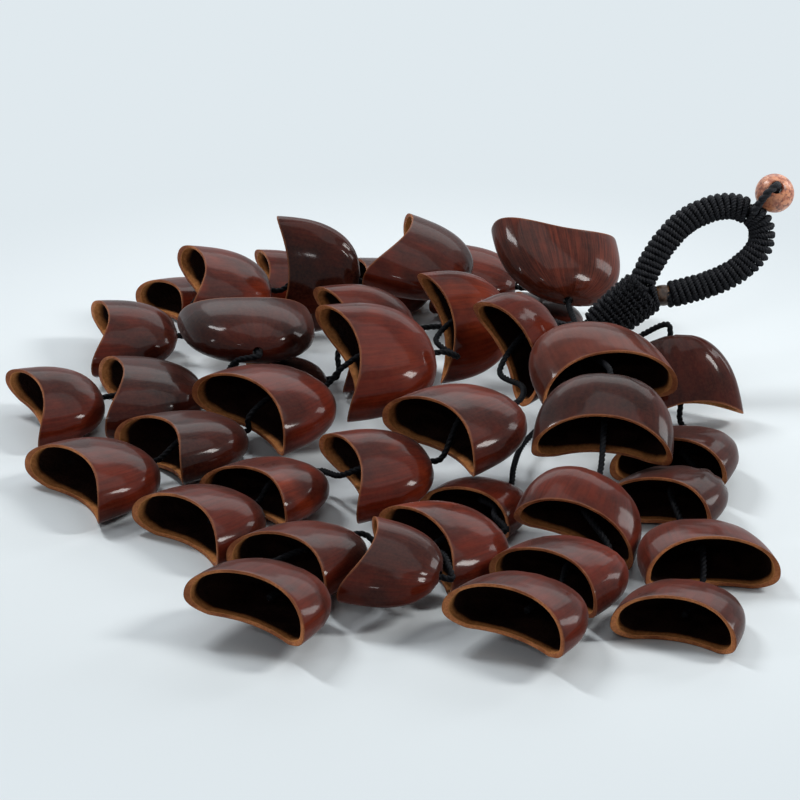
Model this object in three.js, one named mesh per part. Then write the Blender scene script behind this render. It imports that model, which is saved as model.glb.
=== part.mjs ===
// Seed pod rattle: eight strands of hollow half seed shells, tied to a cord-wound loop handle.
// Millimetres, Z up. The rattle lies on a table, which is the plane Z = 0.
import * as THREE from 'three';

// Seed shells
const POD_WIDTH = 54;          // across the shell, from one narrow edge to the other
const POD_LENGTH = 68;         // of the uncut seed
const POD_DEPTH = 40;          // from the hole end to the two corners of the mouth
const POD_RISE = 13;           // rounder face, above the seam
const POD_BELLY = 10;          // flatter face, below the seam
const BELLY_FLAT = 1.6;        // how much of the belly is worn flat
const MOUTH_DIP = 9;           // how far the sanded mouth dips between its corners
const SHELL_WALL = 1.8;
const FULLNESS = 2.3;          // of the section and the plan: 2 is an ellipse, more is squarer

// Strand cords
const CORD_RADIUS = 1.2;
const HOLE_PLAY = 1;           // between a cord and the hole drilled for it
const KNOT_HOLD = 0.3;         // how much larger than that hole a stopper knot is
const KNOT_SHARE = 0.3;        // of the shell's depth, where its knot lies
const CORD_RISE = 4;           // how far up inside its mouth a shell carries the cord
const TAIL_LENGTH = 6;         // loose end past the last knot

// Handle
const CORE_RADIUS = 2.6;       // rope inside the loop
const WRAP_RADIUS = 0.95;      // cord wound round it
const WRAP_PITCH = 3.7;        // from one turn to the next
const SEAT_GAP = 0.35;         // between a cord or sleeve and what it sits on
const NECK_RADIUS = 6.4;       // cords gathered under the whipping
const NECK_LENGTH = 22;
const BEAD_RADIUS = 7.6;
const BEAD_BORE = 2.4;
const BEAD_CORD_RADIUS = 1.6;  // doubled cord through the bead
const SLEEVE_LENGTH = 5;       // brown sleeve where the loop comes back to the neck
const SLEEVE_WALL = 1.5;

const HOLE_RADIUS = CORD_RADIUS + HOLE_PLAY;
const KNOT_RADIUS = HOLE_RADIUS + KNOT_HOLD;
const LEG_RADIUS = CORE_RADIUS + SEAT_GAP + 2 * WRAP_RADIUS;
const NECK_OUTSIDE = NECK_RADIUS + SEAT_GAP + 2 * WRAP_RADIUS;

// The places below are drawn for shells 54 wide, 40 deep and 23 high on a cord of radius 1.2, and for
// a neck of 8.65, legs of 4.85 and a bead of 7.6. Larger pieces push them apart in the same ratio.
const spread = Math.max(
  POD_WIDTH / 54,
  POD_DEPTH / 40,
  (POD_RISE + POD_BELLY) / 23,
  CORD_RADIUS / 1.2,
  NECK_OUTSIDE / 8.65,
);
const loopSpread = Math.max(LEG_RADIUS / 4.85, BEAD_RADIUS / 7.6);
const PILE_CENTRE = [0, -52];  // plan middle of the pile, taken as the origin

// Each strand: the side of the neck that it leaves, points that its cord passes on the way, then its
// shells from the neck outwards. at is the hole end (with no height, the shell lies on the table),
// heading is the plan angle from X that the mouth faces, pitch lifts the mouth, roll turns the shell
// about its own axis, via lists points that the cord passes on its way to that shell.
const STRANDS = {
  front: {
    side: 15,
    pods: [
      { at: [66.5, -15.5, 36.5], heading: 288, pitch: -13, roll: -3, size: 1.01 },
      { at: [77.5, -61, 37], heading: 263, pitch: -22, roll: -2, size: 0.96 },
      { at: [71, -111.5, 21], heading: 252, pitch: -16, roll: -23, size: 0.85 },
      { at: [71, -152, 11.5], heading: 230, pitch: 0, roll: 0, size: 0.87 },
      { at: [53, -180.5, 12], heading: 238, pitch: 3, roll: -3, size: 0.89 },
    ],
  },
  right: {
    side: 290,
    pods: [
      { at: [103.5, -12, 33], heading: 290, pitch: -62, roll: 10, size: 0.86, via: [[83, 0, 20], [94, -4, 30]] },
      { at: [112.5, -52.5], heading: 246, pitch: 0, roll: 8, size: 0.86, via: [[107, -29, 5], [111, -40, 5]] },
      { at: [107.5, -87], heading: 241, pitch: 0, roll: 9, size: 0.85 },
      { at: [102, -128.5], heading: 281, pitch: 0, roll: -4, size: 0.91 },
      { at: [103.5, -171], heading: 250, pitch: 0, roll: 0, size: 0.83 },
    ],
  },
  fore: {
    side: 335,
    pods: [
      { at: [38.5, -90], heading: 237, pitch: 0, roll: 0, size: 0.72,
        via: [[70, -8, 16], [58, -30, 8], [46, -55, 7], [42, -76, 7.5]] },
      { at: [34.5, -133, 10], heading: 213, pitch: 2, roll: -9, size: 0.89,
        via: [[34, -110, 9], [34, -120, 10]] },
      { at: [14, -175, 14.5], heading: 164, pitch: 4, roll: -11, size: 0.78,
        via: [[10, -150, 12], [15, -161, 16], [17, -171, 16]] },
      { at: [-19, -135.5], heading: 228, pitch: 0, roll: 6, size: 0.91,
        via: [[-11.5, -165, 14], [-10, -156, 5.5], [-7, -138, 5], [-12, -131, 8]] },
      { at: [-35, -172.5, 12.5], heading: 240, pitch: 4, roll: -5, size: 0.9,
        via: [[-46, -158, 10], [-45, -166, 11]] },
    ],
  },
  middle: {
    side: 60,
    pods: [
      { at: [59.5, 4, 29], heading: 229, pitch: -1, roll: -56, size: 0.81 },
      { at: [40.5, -66, 28.5], heading: 219, pitch: -5, roll: -1, size: 0.99,
        via: [[38, -26, 24], [46, -44, 26]] },
      { at: [11, -91.5, 18], heading: 197, pitch: -5, roll: -9, size: 0.89 },
      { at: [-32.5, -83.5], heading: 225, pitch: 0, roll: 6, size: 0.88,
        via: [[-22, -93, 13], [-26, -87, 11]] },
      { at: [-54.5, -106], heading: 223, pitch: 0, roll: 0, size: 0.89 },
    ],
  },
  long: {
    side: 120,
    pods: [
      { at: [43, 23, 25], heading: 197, pitch: -1, roll: -50, size: 0.83 },
      { at: [13, -15.5, 27], heading: 195, pitch: 0, roll: -24, size: 1.02,
        via: [[14, 4, 24], [22, -12, 24]] },
      { at: [-31, -28, 18], heading: 222, pitch: -1, roll: -4, size: 1.01,
        via: [[-22, -24.5, 25]] },
      { at: [-60.5, -51.5], heading: 212, pitch: 0, roll: 9, size: 0.98, via: [[-57, -49.5, 15.5]] },
      { at: [-93, -72], heading: 216, pitch: 0, roll: 0, size: 0.96 },
    ],
  },
  left: {
    side: 165,
    pods: [
      { at: [6.5, 28, 18], heading: 196, pitch: -1, roll: -30, size: 0.91, via: [[52, 36, 20], [26, 34, 17]] },
      { at: [-29, 8], heading: 195, pitch: 0, roll: 0, size: 0.7,
        via: [[-24, 16, 14], [-24, 10, 8]] },
      { at: [-54.5, -15, 27], heading: 100, pitch: -6, roll: 4, size: 0.99,
        via: [[-58, 2, 8], [-66, -9, 15], [-62, -17.5, 25]] },
      { at: [-75.5, -14], heading: 187, pitch: 0, roll: 0, size: 0.99, via: [[-64, 32, 18], [-64, 18, 9]] },
      { at: [-114.5, -18], heading: 202, pitch: 0, roll: -12, size: 0.81 },
    ],
  },
  back: {
    side: 250,
    pods: [
      { at: [74, 52], heading: 170, pitch: 0, roll: 0, size: 0.82, via: [[82, 20, 18], [86, 46, 9]] },
      { at: [28, 67.5, 22.5], heading: 162, pitch: 12, roll: -7, size: 0.94, via: [[43, 57, 10], [34, 58, 17]] },
      { at: [-16, 60, 25], heading: 170, pitch: 0, roll: -72, size: 0.88 },
      { at: [-52, 61, 20.5], heading: 189, pitch: 6, roll: -9, size: 0.9 },
      { at: [-88.5, 36, 11.5], heading: 184, pitch: -2, roll: -7, size: 0.86, via: [[-84, 44, 19]] },
    ],
  },
  far: {
    side: 210,
    pods: [
      { at: [67, 45, 22.5], heading: 97, pitch: 18, roll: 16, size: 0.99 },
      { at: [48, 91], heading: 165, pitch: 0, roll: -10, size: 0.8,
        via: [[61, 84, 35], [61, 92, 26], [58, 90, 12]] },
      { at: [12, 95], heading: 188, pitch: 0, roll: 0, size: 0.85 },
      { at: [-31, 87, 11], heading: 182, pitch: 0, roll: -20, size: 0.72 },
      { at: [-73, 88.5], heading: 212, pitch: 0, roll: 6, size: 0.75 },
    ],
  },
};

// Handle. Places on the loop are measured across and up its plane from the top of the neck.
const NECK_FOOT = [76, 6, 27.5];
const LOOP_LEAN = 25;          // the loop's plane leans back from upright
const NECK_SLOPE = 38;         // the neck's own slope in that plane
const LOOP_POINTS = [
  [2.2, 8.4], [5.6, 14.4], [10, 20.9], [15.8, 26.9], [22, 31], [28.2, 33.4], [34.4, 34.2], [40.3, 32.9],
  [45, 29.6], [47.2, 24.6], [46.4, 19], [42.7, 13.7], [36.7, 8.9], [28.4, 4.7], [19.6, 2], [11.8, 0],
];
const UPPER_WRAP = [0.045, 0.42];   // share of the loop that each winding covers
const LOWER_WRAP = [0.556, 0.91];
const SLEEVE_SHARE = 0.948;
const BEAD_AT = [52.1, 39.3];
const BEAD_TILT = 15;          // bore, up from square to the loop

// How finely each form is cut
const AROUND = 14;
const STATIONS = [28, 50, 70];      // rings of a shell, degrees round from its hole end
const CORD_SIDES = 8;
const WRAP_SIDES = 5;
const WRAP_STEPS = 8;               // for each turn

const WOODS = [0x4a2318, 0x3f1d14, 0x552a1b, 0x38190f];
const NYLON = { color: 0x16171b, roughness: 0.8, metalness: 0 };
const BEAD_WOOD = { color: 0xb0674a, roughness: 0.5, metalness: 0 };
const SLEEVE_BROWN = { color: 0x4b3526, roughness: 0.7, metalness: 0 };

const rad = THREE.MathUtils.degToRad;
const point = (x, y, z) => new THREE.Vector3(x, y, z);
const along = (from, direction, distance) => from.clone().addScaledVector(direction, distance);

const group = new THREE.Group();

function addPiece(name, geometry, look) {
  geometry.translate(-PILE_CENTRE[0] * spread, -PILE_CENTRE[1] * spread, 0);
  geometry.computeVertexNormals();
  const piece = new THREE.Mesh(geometry, new THREE.MeshStandardMaterial(look));
  piece.name = name;
  group.add(piece);
}

// Closed solid through rows of points that all run the same way round. A ring joins its last row
// to its first; anything else is capped at both ends.
function loft(rows, ring) {
  const count = rows[0].length;
  const index = [];
  const bands = ring ? rows.length : rows.length - 1;
  for (let r = 0; r < bands; r += 1) {
    const low = r * count;
    const high = ((r + 1) % rows.length) * count;
    for (let k = 0; k < count; k += 1) {
      const next = (k + 1) % count;
      index.push(low + k, low + next, high + next);
      index.push(low + k, high + next, high + k);
    }
  }
  if (!ring) {
    const last = (rows.length - 1) * count;
    for (let k = 1; k + 1 < count; k += 1) {
      index.push(0, k + 1, k);
      index.push(last, last + k, last + k + 1);
    }
  }
  const geometry = new THREE.BufferGeometry().setFromPoints(rows.flat());
  geometry.setIndex(index);
  return geometry;
}

// Round bar through centres, each with its own radius, without twist.
function bar(centres, radii, sides) {
  const count = centres.length;
  const tangent = (k) => {
    const before = centres[Math.max(k - 1, 0)];
    const after = centres[Math.min(k + 1, count - 1)];
    return after.clone().sub(before).normalize();
  };
  let way = tangent(0);
  const helper = Math.abs(way.z) < 0.9 ? point(0, 0, 1) : point(1, 0, 0);
  const side = helper.cross(way).normalize();
  const rows = centres.map((centre, k) => {
    const next = tangent(k);
    side.applyQuaternion(new THREE.Quaternion().setFromUnitVectors(way, next));
    way = next;
    const other = way.clone().cross(side);
    return Array.from({ length: sides }, (_, s) => {
      const turn = (s / sides) * 2 * Math.PI;
      const edge = along(centre, side, radii[k] * Math.cos(turn));
      return edge.addScaledVector(other, radii[k] * Math.sin(turn));
    });
  });
  return loft(rows, false);
}

// Seed shells

const scaled = (size) => ({
  half: (POD_LENGTH * size) / 2,
  wide: (POD_WIDTH * size) / 2,
  rise: POD_RISE * size,
  belly: POD_BELLY * size,
  depth: POD_DEPTH * size,
  dip: MOUTH_DIP * size,
});

const full = (share, power) => Math.sign(share) * Math.abs(share) ** power;

// One point of a shell's skin, inset from the outside: turn goes from the hole end towards the
// mouth, round goes about the axis.
function skinPoint(pod, turn, round, inset) {
  const across = full(Math.cos(round), 2 / FULLNESS);
  const up = full(Math.sin(round), 2 / FULLNESS);
  const height = up > 0 ? pod.rise : pod.belly;
  const reach = full(Math.sin(turn), 2 / FULLNESS);
  const x = pod.half - (pod.half - inset) * full(Math.cos(turn), 2 / FULLNESS);
  const y = (pod.wide - inset) * reach * across;
  const z = (height - inset) * reach * up;
  return point(x, y, Math.max(z, inset + BELLY_FLAT - pod.belly));
}

// The same skin where the sanded mouth cuts it.
function lipPoint(pod, round, inset) {
  let turn = Math.PI / 2;
  for (let k = 0; k < 12; k += 1) {
    const y = skinPoint(pod, turn, round, inset).y;
    const cut = pod.depth - pod.dip * (1 - (y / pod.wide) ** 2);
    const share = THREE.MathUtils.clamp((pod.half - cut) / (pod.half - inset), -0.99, 0.99);
    turn = Math.acos(full(share, FULLNESS / 2));
  }
  return skinPoint(pod, turn, round, inset);
}

function holePoint(pod, round, inset) {
  const y = HOLE_RADIUS * Math.cos(round);
  const z = HOLE_RADIUS * Math.sin(round);
  const height = z > 0 ? pod.rise : pod.belly;
  const reach = Math.hypot(y / (pod.wide - inset), z / (height - inset));
  const x = pod.half - (pod.half - inset) * (1 - reach ** FULLNESS) ** (1 / FULLNESS);
  return point(x, y, z);
}

// Half seed shell: hole end at the origin, mouth along X, rounder face up.
function shell(pod) {
  const angles = Array.from({ length: AROUND }, (_, k) => (k / AROUND) * 2 * Math.PI);
  const ring = (turn, inset) => angles.map((round) => skinPoint(pod, rad(turn), round, inset));
  return loft([
    angles.map((round) => holePoint(pod, round, 0)),
    ...STATIONS.map((turn) => ring(turn, 0)),
    angles.map((round) => lipPoint(pod, round, 0)),
    angles.map((round) => lipPoint(pod, round, SHELL_WALL)),
    ring(STATIONS[1], SHELL_WALL),
    angles.map((round) => holePoint(pod, round, SHELL_WALL)),
  ], true);
}

function podFrame(plan) {
  const heading = rad(plan.heading);
  const pitch = rad(plan.pitch ?? 0);
  const roll = rad(plan.roll ?? 0);
  const axis = point(
    Math.cos(pitch) * Math.cos(heading),
    Math.cos(pitch) * Math.sin(heading),
    Math.sin(pitch),
  );
  const left = point(-Math.sin(heading), Math.cos(heading), 0);
  const up = axis.clone().cross(left);
  const wide = left.clone().multiplyScalar(Math.cos(roll)).addScaledVector(up, Math.sin(roll));
  return { axis, up, turned: new THREE.Matrix4().makeBasis(axis, wide, axis.clone().cross(wide)) };
}

function layPod(name, plan) {
  const pod = scaled(plan.size ?? 1);
  const { axis, up, turned } = podFrame(plan);
  const geometry = shell(pod).applyMatrix4(turned);
  geometry.computeBoundingBox();
  const [x, y, z] = plan.at;
  const height = z === undefined ? -geometry.boundingBox.min.z : z * spread;
  const hole = point(x * spread, y * spread, height);
  geometry.translate(hole.x, hole.y, hole.z);
  addPiece(name, geometry, { color: plan.wood, roughness: 0.35, metalness: 0 });
  const rise = up.multiplyScalar(CORD_RISE * (plan.size ?? 1));
  return { hole, axis, rise, knot: pod.depth * KNOT_SHARE, lip: pod.depth - pod.dip };
}

// Neck: the plane of the loop, and the foot that the strands leave from

const lean = rad(LOOP_LEAN);
const foot = point(...NECK_FOOT).multiplyScalar(spread);
const loopUp = point(0, Math.sin(lean), Math.cos(lean));
const loopFront = point(0, -Math.cos(lean), Math.sin(lean));
const neckWay = point(Math.cos(rad(NECK_SLOPE)), 0, 0);
neckWay.addScaledVector(loopUp, Math.sin(rad(NECK_SLOPE)));
const neckTop = along(foot, neckWay, NECK_LENGTH);
const inLoop = ([across, up], front = 0) => {
  const spot = along(neckTop, point(1, 0, 0), across * loopSpread);
  return along(along(spot, loopUp, up * loopSpread), loopFront, front);
};
const faceFront = neckWay.clone().cross(point(0, 0, 1)).normalize();
const faceUp = faceFront.clone().cross(neckWay);

// Strands

const seatRing = NECK_RADIUS - CORD_RADIUS - 1;

function strandStart(side) {
  const out = faceFront.clone().multiplyScalar(Math.cos(rad(side)));
  out.addScaledVector(faceUp, Math.sin(rad(side)));
  const start = along(along(foot, out, seatRing), neckWay, -2 * SEAT_GAP);
  return [start, along(along(start, neckWay, -3.5), out, 1)];
}

function strandCord(side, pods) {
  const stops = strandStart(side).map((spot) => ({ spot, radius: CORD_RADIUS }));
  const pass = (spot, radius = CORD_RADIUS) => stops.push({ spot, radius });
  pods.forEach((pod, k) => {
    for (const via of pod.via) {
      pass(point(...via).multiplyScalar(spread));
    }
    pass(along(pod.hole, pod.axis, -4));
    pass(along(pod.hole, pod.axis, SHELL_WALL / 2));
    pass(along(pod.hole, pod.axis, pod.knot - KNOT_RADIUS));
    pass(along(pod.hole, pod.axis, pod.knot), KNOT_RADIUS);
    pass(along(pod.hole, pod.axis, pod.knot + KNOT_RADIUS));
    if (k < pods.length - 1) {
      pass(along(pod.hole, pod.axis, pod.lip * 0.75).add(pod.rise));
    } else {
      pass(along(pod.hole, pod.axis, pod.knot + KNOT_RADIUS + TAIL_LENGTH));
    }
  });
  const curve = new THREE.CatmullRomCurve3(stops.map((stop) => stop.spot), false, 'centripetal');
  const centres = [];
  const radii = [];
  stops.forEach((stop, k) => {
    centres.push(stop.spot);
    radii.push(stop.radius);
    const next = stops[k + 1];
    const steps = next ? Math.floor(stop.spot.distanceTo(next.spot) / 12) : 0;
    for (let s = 1; s <= steps; s += 1) {
      centres.push(curve.getPoint((k + s / (steps + 1)) / (stops.length - 1)));
      radii.push(CORD_RADIUS);
    }
  });
  return bar(centres, radii, CORD_SIDES);
}

for (const [strand, plan] of Object.entries(STRANDS)) {
  const pods = plan.pods.map((pod, k) => ({
    ...layPod(`pod_${strand}_${k + 1}`, { ...pod, wood: WOODS[(3 * k + strand.length) % WOODS.length] }),
    via: pod.via ?? [],
  }));
  addPiece(`cord_${strand}`, strandCord(plan.side, pods), NYLON);
}

// Handle

const topAcross = neckWay.clone().cross(loopFront).normalize();
const legSpacing = CORE_RADIUS + 0.6;
const loopCurve = new THREE.CatmullRomCurve3([
  along(along(neckTop, topAcross, -legSpacing), neckWay, 2.5 * SEAT_GAP),
  along(along(neckTop, topAcross, -legSpacing), neckWay, 2.5),
  ...LOOP_POINTS.map((spot) => inLoop(spot)),
  along(along(neckTop, topAcross, legSpacing), neckWay, 2.5),
  along(along(neckTop, topAcross, legSpacing), neckWay, 2.5 * SEAT_GAP),
], false, 'centripetal');
const loopLength = loopCurve.getLength();

// Points of a cord wound at a radius round a curve between two shares of its length.
function winding(curve, from, to, radius, steps) {
  const length = curve.getLength();
  const turns = ((to - from) * length) / WRAP_PITCH;
  const count = Math.round(turns * steps);
  const spots = [];
  let way = curve.getTangentAt(from);
  const side = way.clone().cross(loopFront).normalize();
  for (let k = 0; k <= count; k += 1) {
    const share = from + ((to - from) * k) / count;
    const next = curve.getTangentAt(share);
    side.applyQuaternion(new THREE.Quaternion().setFromUnitVectors(way, next));
    way = next;
    const turn = (k / steps) * 2 * Math.PI;
    const spot = along(curve.getPointAt(share), side, radius * Math.cos(turn));
    spots.push(spot.addScaledVector(way.clone().cross(side), radius * Math.sin(turn)));
  }
  return spots;
}

// Least gap of a wound cord to itself, measured between points at least half a turn apart.
function leastGap(spots, radius, steps) {
  let least = Infinity;
  for (let a = 0; a < spots.length; a += 1) {
    for (let b = a + Math.ceil(steps / 2); b < spots.length; b += 1) {
      least = Math.min(least, spots[a].distanceTo(spots[b]) - 2 * radius);
    }
  }
  return least;
}

// A wound cord whose two ends run straight on for one cord diameter.
function wound(name, spots, steps) {
  const first = spots[0].clone().sub(spots[1]).setLength(2 * WRAP_RADIUS);
  const last = spots.at(-1).clone().sub(spots.at(-2)).setLength(2 * WRAP_RADIUS);
  const whole = [spots[0].clone().add(first), ...spots, spots.at(-1).clone().add(last)];
  console.log(`${name}: least gap to itself ${leastGap(spots, WRAP_RADIUS, steps).toFixed(2)} mm`);
  addPiece(name, bar(whole, whole.map(() => WRAP_RADIUS), WRAP_SIDES), NYLON);
}

const coreSpots = loopCurve.getSpacedPoints(Math.round(loopLength / 3.6));
addPiece('loop_core', bar(coreSpots, coreSpots.map(() => CORE_RADIUS), CORD_SIDES), NYLON);

const seat = (CORE_RADIUS + SEAT_GAP) / Math.cos(Math.PI / WRAP_STEPS);
const wrapRadius = seat + WRAP_RADIUS;
wound('loop_winding_upper', winding(loopCurve, ...UPPER_WRAP, wrapRadius, WRAP_STEPS), WRAP_STEPS);
wound('loop_winding_lower', winding(loopCurve, ...LOWER_WRAP, wrapRadius, WRAP_STEPS), WRAP_STEPS);

const neckSpots = [0, 0.25, 0.5, 0.75, 1].map((share) => along(foot, neckWay, share * NECK_LENGTH));
const neckRadii = [0.86, 0.98, 1, 0.98, 0.9].map((share) => share * NECK_RADIUS);
addPiece('neck_bundle', bar(neckSpots, neckRadii, 12), NYLON);

const neckSteps = WRAP_STEPS + 4;
const whippingRadius = (NECK_RADIUS + SEAT_GAP) / Math.cos(Math.PI / neckSteps) + WRAP_RADIUS;
const neckCurve = new THREE.LineCurve3(neckSpots[0], neckSpots.at(-1));
wound('neck_whipping', winding(neckCurve, 0.1, 0.88, whippingRadius, neckSteps), neckSteps);

// A lathed piece on an axis through a place.
function turnedPiece(name, profile, place, axis, segments, look) {
  const geometry = new THREE.LatheGeometry(profile, segments);
  geometry.deleteAttribute('uv');
  geometry.deleteAttribute('normal');
  const upright = new THREE.Quaternion().setFromUnitVectors(point(0, 1, 0), axis);
  geometry.applyQuaternion(upright);
  geometry.translate(place.x, place.y, place.z);
  addPiece(name, geometry, look);
}

const sleeveBore = CORE_RADIUS + 2 * SEAT_GAP;
const sleeveOut = sleeveBore + SLEEVE_WALL;
turnedPiece('crotch_sleeve', [
  new THREE.Vector2(sleeveBore, -SLEEVE_LENGTH / 2),
  new THREE.Vector2(sleeveOut - 0.4, -SLEEVE_LENGTH / 2),
  new THREE.Vector2(sleeveOut, 0),
  new THREE.Vector2(sleeveOut - 0.4, SLEEVE_LENGTH / 2),
  new THREE.Vector2(sleeveBore, SLEEVE_LENGTH / 2),
  new THREE.Vector2(sleeveBore, -SLEEVE_LENGTH / 2),
], loopCurve.getPointAt(SLEEVE_SHARE), loopCurve.getTangentAt(SLEEVE_SHARE), 12, SLEEVE_BROWN);

const beadAxis = loopFront.clone().multiplyScalar(Math.cos(rad(BEAD_TILT)));
beadAxis.addScaledVector(loopUp, Math.sin(rad(BEAD_TILT)));
const beadPlace = inLoop(BEAD_AT);
const beadArc = Array.from({ length: 9 }, (_, k) => {
  const least = Math.asin(BEAD_BORE / BEAD_RADIUS);
  const turn = least + ((Math.PI - 2 * least) * k) / 8;
  return new THREE.Vector2(BEAD_RADIUS * Math.sin(turn), -BEAD_RADIUS * Math.cos(turn));
});
turnedPiece('bead', [...beadArc, beadArc[0].clone()], beadPlace, beadAxis, 16, BEAD_WOOD);

const reach = BEAD_RADIUS + 2.4;
const beadCord = [
  inLoop([43.2, 31.2], CORE_RADIUS + SEAT_GAP + BEAD_CORD_RADIUS),
  inLoop([44.8, 33.8], 6),
  inLoop([47.8, 38.2], 11),
  along(beadPlace, beadAxis, reach),
  along(beadPlace, beadAxis, 3),
  along(beadPlace, beadAxis, -3),
  along(beadPlace, beadAxis, -reach + 0.6),
  along(beadPlace, beadAxis, -reach - 0.6),
  along(beadPlace, beadAxis, -reach - 3),
  along(beadPlace, beadAxis, -reach - 4.4),
];
const beadRadii = [1, 1, 1, 1, 1, 1, 1, 1.9, 1.9, 1].map((share) => share * BEAD_CORD_RADIUS);
addPiece('bead_cord', bar(beadCord, beadRadii, CORD_SIDES), NYLON);

export default group;
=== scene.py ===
import math

import bpy
import numpy as np
from mathutils import Matrix, Vector, noise


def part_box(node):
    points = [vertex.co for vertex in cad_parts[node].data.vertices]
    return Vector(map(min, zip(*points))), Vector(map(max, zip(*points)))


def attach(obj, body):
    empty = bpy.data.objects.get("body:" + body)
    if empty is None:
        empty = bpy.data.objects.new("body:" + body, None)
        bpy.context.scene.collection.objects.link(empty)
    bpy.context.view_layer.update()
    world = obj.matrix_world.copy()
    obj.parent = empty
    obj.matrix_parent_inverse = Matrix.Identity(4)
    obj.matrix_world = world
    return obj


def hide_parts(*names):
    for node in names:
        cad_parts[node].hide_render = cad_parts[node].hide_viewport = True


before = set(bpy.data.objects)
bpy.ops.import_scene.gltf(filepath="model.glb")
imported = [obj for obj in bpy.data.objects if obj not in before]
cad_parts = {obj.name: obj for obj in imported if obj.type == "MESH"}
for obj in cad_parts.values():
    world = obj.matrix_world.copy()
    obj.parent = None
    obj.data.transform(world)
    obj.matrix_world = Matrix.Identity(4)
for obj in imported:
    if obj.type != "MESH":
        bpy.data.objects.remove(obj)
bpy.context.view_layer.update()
mm = 0.001


# Camera

photoView = {
    "distance": 1.4, "height": 25, "aim": (0, 0.052, 0), "clip": (0.05, 50),
    "pixelSize": 0.00039, "pixels": 800, "sensor": 36,
}


def setCamera(plan):
    up = math.radians(plan["height"])
    back = Vector((0, -math.cos(up), math.sin(up)))
    camera = bpy.data.objects.new("photoCamera", bpy.data.cameras.new("photoCamera"))
    camera.location = Vector(plan["aim"]) + back * plan["distance"]
    camera.rotation_euler = (-back).to_track_quat("-Z", "Y").to_euler()
    camera.data.sensor_width = plan["sensor"]
    camera.data.lens = plan["sensor"] * plan["distance"] / (plan["pixelSize"] * plan["pixels"])
    camera.data.clip_start, camera.data.clip_end = plan["clip"]
    bpy.context.scene.collection.objects.link(camera)
    bpy.context.scene.camera = camera


setCamera(photoView)
bpy.context.scene.view_settings.view_transform = "Standard"


# Node helpers

def addNode(tree, kind, **settings):
    node = tree.nodes.new(kind)
    for key, value in settings.items():
        setattr(node, key, value)
    return node


def feed(tree, node, **values):
    # each value is a socket to link, or a number or colour to set; _ stands for a space, i0 for input 0
    for key, value in values.items():
        numbered = key[0] == "i" and key[1:].isdigit()
        socket = node.inputs[int(key[1:]) if numbered else key.replace("_", " ")]
        if isinstance(value, bpy.types.NodeSocket):
            tree.links.new(value, socket)
        else:
            socket.default_value = value
    return node


def newMaterial(name):
    material = bpy.data.materials.new(name)
    material.use_nodes = True
    tree = material.node_tree
    tree.nodes.clear()
    out = tree.nodes.new("ShaderNodeOutputMaterial")
    return material, tree, out


def math2(tree, operation, first, second):
    return feed(tree, addNode(tree, "ShaderNodeMath", operation=operation), i0=first, i1=second).outputs[0]


def scaled(tree, value, share):
    return math2(tree, "MULTIPLY", value, share)


def ramp(tree, value, low, high, toLow=0.0, toHigh=1.0):
    node = addNode(tree, "ShaderNodeMapRange", interpolation_type="SMOOTHSTEP")
    feed(tree, node, Value=value, From_Min=low, From_Max=high, To_Min=toLow, To_Max=toHigh)
    return node.outputs["Result"]


def blend(tree, share, first, second, mode="MIX"):
    # each colour is a socket, or red, green and blue
    node = addNode(tree, "ShaderNodeMix", data_type="RGBA", blend_type=mode)
    first, second = ((*colour, 1) if isinstance(colour, tuple) else colour for colour in (first, second))
    return feed(tree, node, i0=share, i6=first, i7=second).outputs[2]


def ownSpot(tree):
    return addNode(tree, "ShaderNodeTexCoord").outputs["Object"]


def ownShift(tree, spread):
    # a number for each piece, so that no two have the same marks
    return scaled(tree, addNode(tree, "ShaderNodeObjectInfo").outputs["Random"], spread)


def meshValue(tree, title, kind="Fac"):
    return addNode(tree, "ShaderNodeAttribute", attribute_name=title).outputs[kind]


# Floor and light

def lamp(at, size, watts, tint=(1, 1, 1), aim=(0, 0, 0.03)):
    return {"at": at, "size": size, "watts": watts, "tint": tint, "aim": aim}


studio = {
    "backdrop": (0.745, 0.815, 0.856),
    "floor": (0.775, 0.842, 0.880),
    "floorSize": 5.0, "floorDrop": 0.0002,
    "clearFrom": 0.16, "clearTo": 0.30,
    "ambient": (0.93, 0.96, 1.0), "ambientStrength": 0.08,
    "lamps": {
        "overheadBox": lamp((0.3, 0.35, 1.4), (1.2, 0.9), 4.6, aim=(0, 0, 0.02)),
        "backBox": lamp((0.15, 1.35, 0.75), (1.5, 0.5), 4.7),
        "leftBox": lamp((-0.6, 0.45, 1.05), (0.16, 0.45), 6.5),
        "rimBox": lamp((1.2, 0.7, 0.55), (0.25, 0.6), 3.8),
        "rightKey": lamp((1.0, -0.1, 0.85), (0.2, 0.34), 8, tint=(1, 0.98, 0.95)),
        "leftStrip": lamp((-1.2, -0.45, 0.6), (0.06, 0.35), 1.9),
        "frontStrip": lamp((-0.2, -1.5, 1.1), (0.25, 0.08), 1.6),
    },
}


def shownRays(tree):
    # 1 on the rays that show the pale backdrop: to the camera, off gloss and through glass
    rays = addNode(tree, "ShaderNodeLightPath").outputs
    straight = math2(tree, "MAXIMUM", rays["Is Camera Ray"], rays["Is Transmission Ray"])
    return math2(tree, "MAXIMUM", straight, rays["Is Glossy Ray"])


def setWorld(plan):
    world = bpy.data.worlds.new("studio")
    bpy.context.scene.world = world
    world.use_nodes = True
    tree = world.node_tree
    tree.nodes.clear()
    shown = feed(tree, addNode(tree, "ShaderNodeBackground"), Color=(*plan["backdrop"], 1), Strength=1)
    lit = feed(tree, addNode(tree, "ShaderNodeBackground"),
               Color=(*plan["ambient"], 1), Strength=plan["ambientStrength"])
    mixed = feed(tree, addNode(tree, "ShaderNodeMixShader"),
                 i0=shownRays(tree), i1=lit.outputs[0], i2=shown.outputs[0])
    out = tree.nodes.new("ShaderNodeOutputWorld")
    tree.links.new(mixed.outputs[0], out.inputs["Surface"])


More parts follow.
